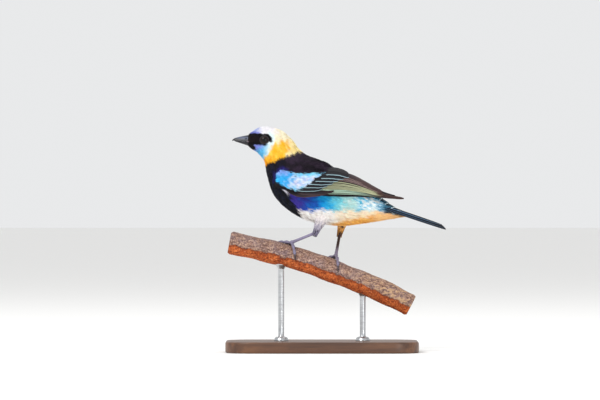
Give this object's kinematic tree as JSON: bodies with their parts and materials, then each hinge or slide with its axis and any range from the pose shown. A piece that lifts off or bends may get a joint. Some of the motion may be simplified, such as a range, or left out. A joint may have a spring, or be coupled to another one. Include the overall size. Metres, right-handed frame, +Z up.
{
  "type": "golden-hooded tanager",
  "caption": "Life-size still model of a small songbird with a golden hood and folded wings, gripping a cut length of branch held by two rods on a flat base.",
  "frame": {"origin": "centre of the base's underside, on the surface that it rests on", "axes": "+Z up, -X the way the bird faces, -Y the bird's left side"},
  "size_m": [0.1189, 0.06, 0.1216],
  "materials": {
    "plumage_gold": "soft feather plumage",
    "plumage_black": "soft feather plumage",
    "plumage_pale": "soft feather plumage",
    "flight_feathers": "satin feather vanes",
    "bill": "satin horn",
    "eye": "wet gloss",
    "legs": "scaled skin",
    "claws": "satin horn",
    "bark": "rough bark",
    "base_wood": "satin varnished wood",
    "rod_steel": "brushed"
  },
  "bodies": {
    "root": {"head": "plumage_gold", "neck": "plumage_gold", "torso": "plumage_black", "bill_upper": "bill", "bill_lower": "bill", "eye_left": "eye", "eye_right": "eye", "wing_left": "flight_feathers", "wing_right": "flight_feathers", "tail": "flight_feathers", "thigh_left": "plumage_pale", "thigh_right": "plumage_pale", "tarsus_left": "legs", "tarsus_right": "legs", "foot_left": "legs", "foot_right": "legs", "claw_left_hind": "claws", "claw_left_inner": "claws", "claw_left_middle": "claws", "claw_left_outer": "claws", "claw_right_hind": "claws", "claw_right_inner": "claws", "claw_right_middle": "claws", "claw_right_outer": "claws", "perch": "bark", "stand_base": "base_wood", "stand_rod_front": "rod_steel", "stand_rod_back": "rod_steel"}
  },
  "joints": []
}
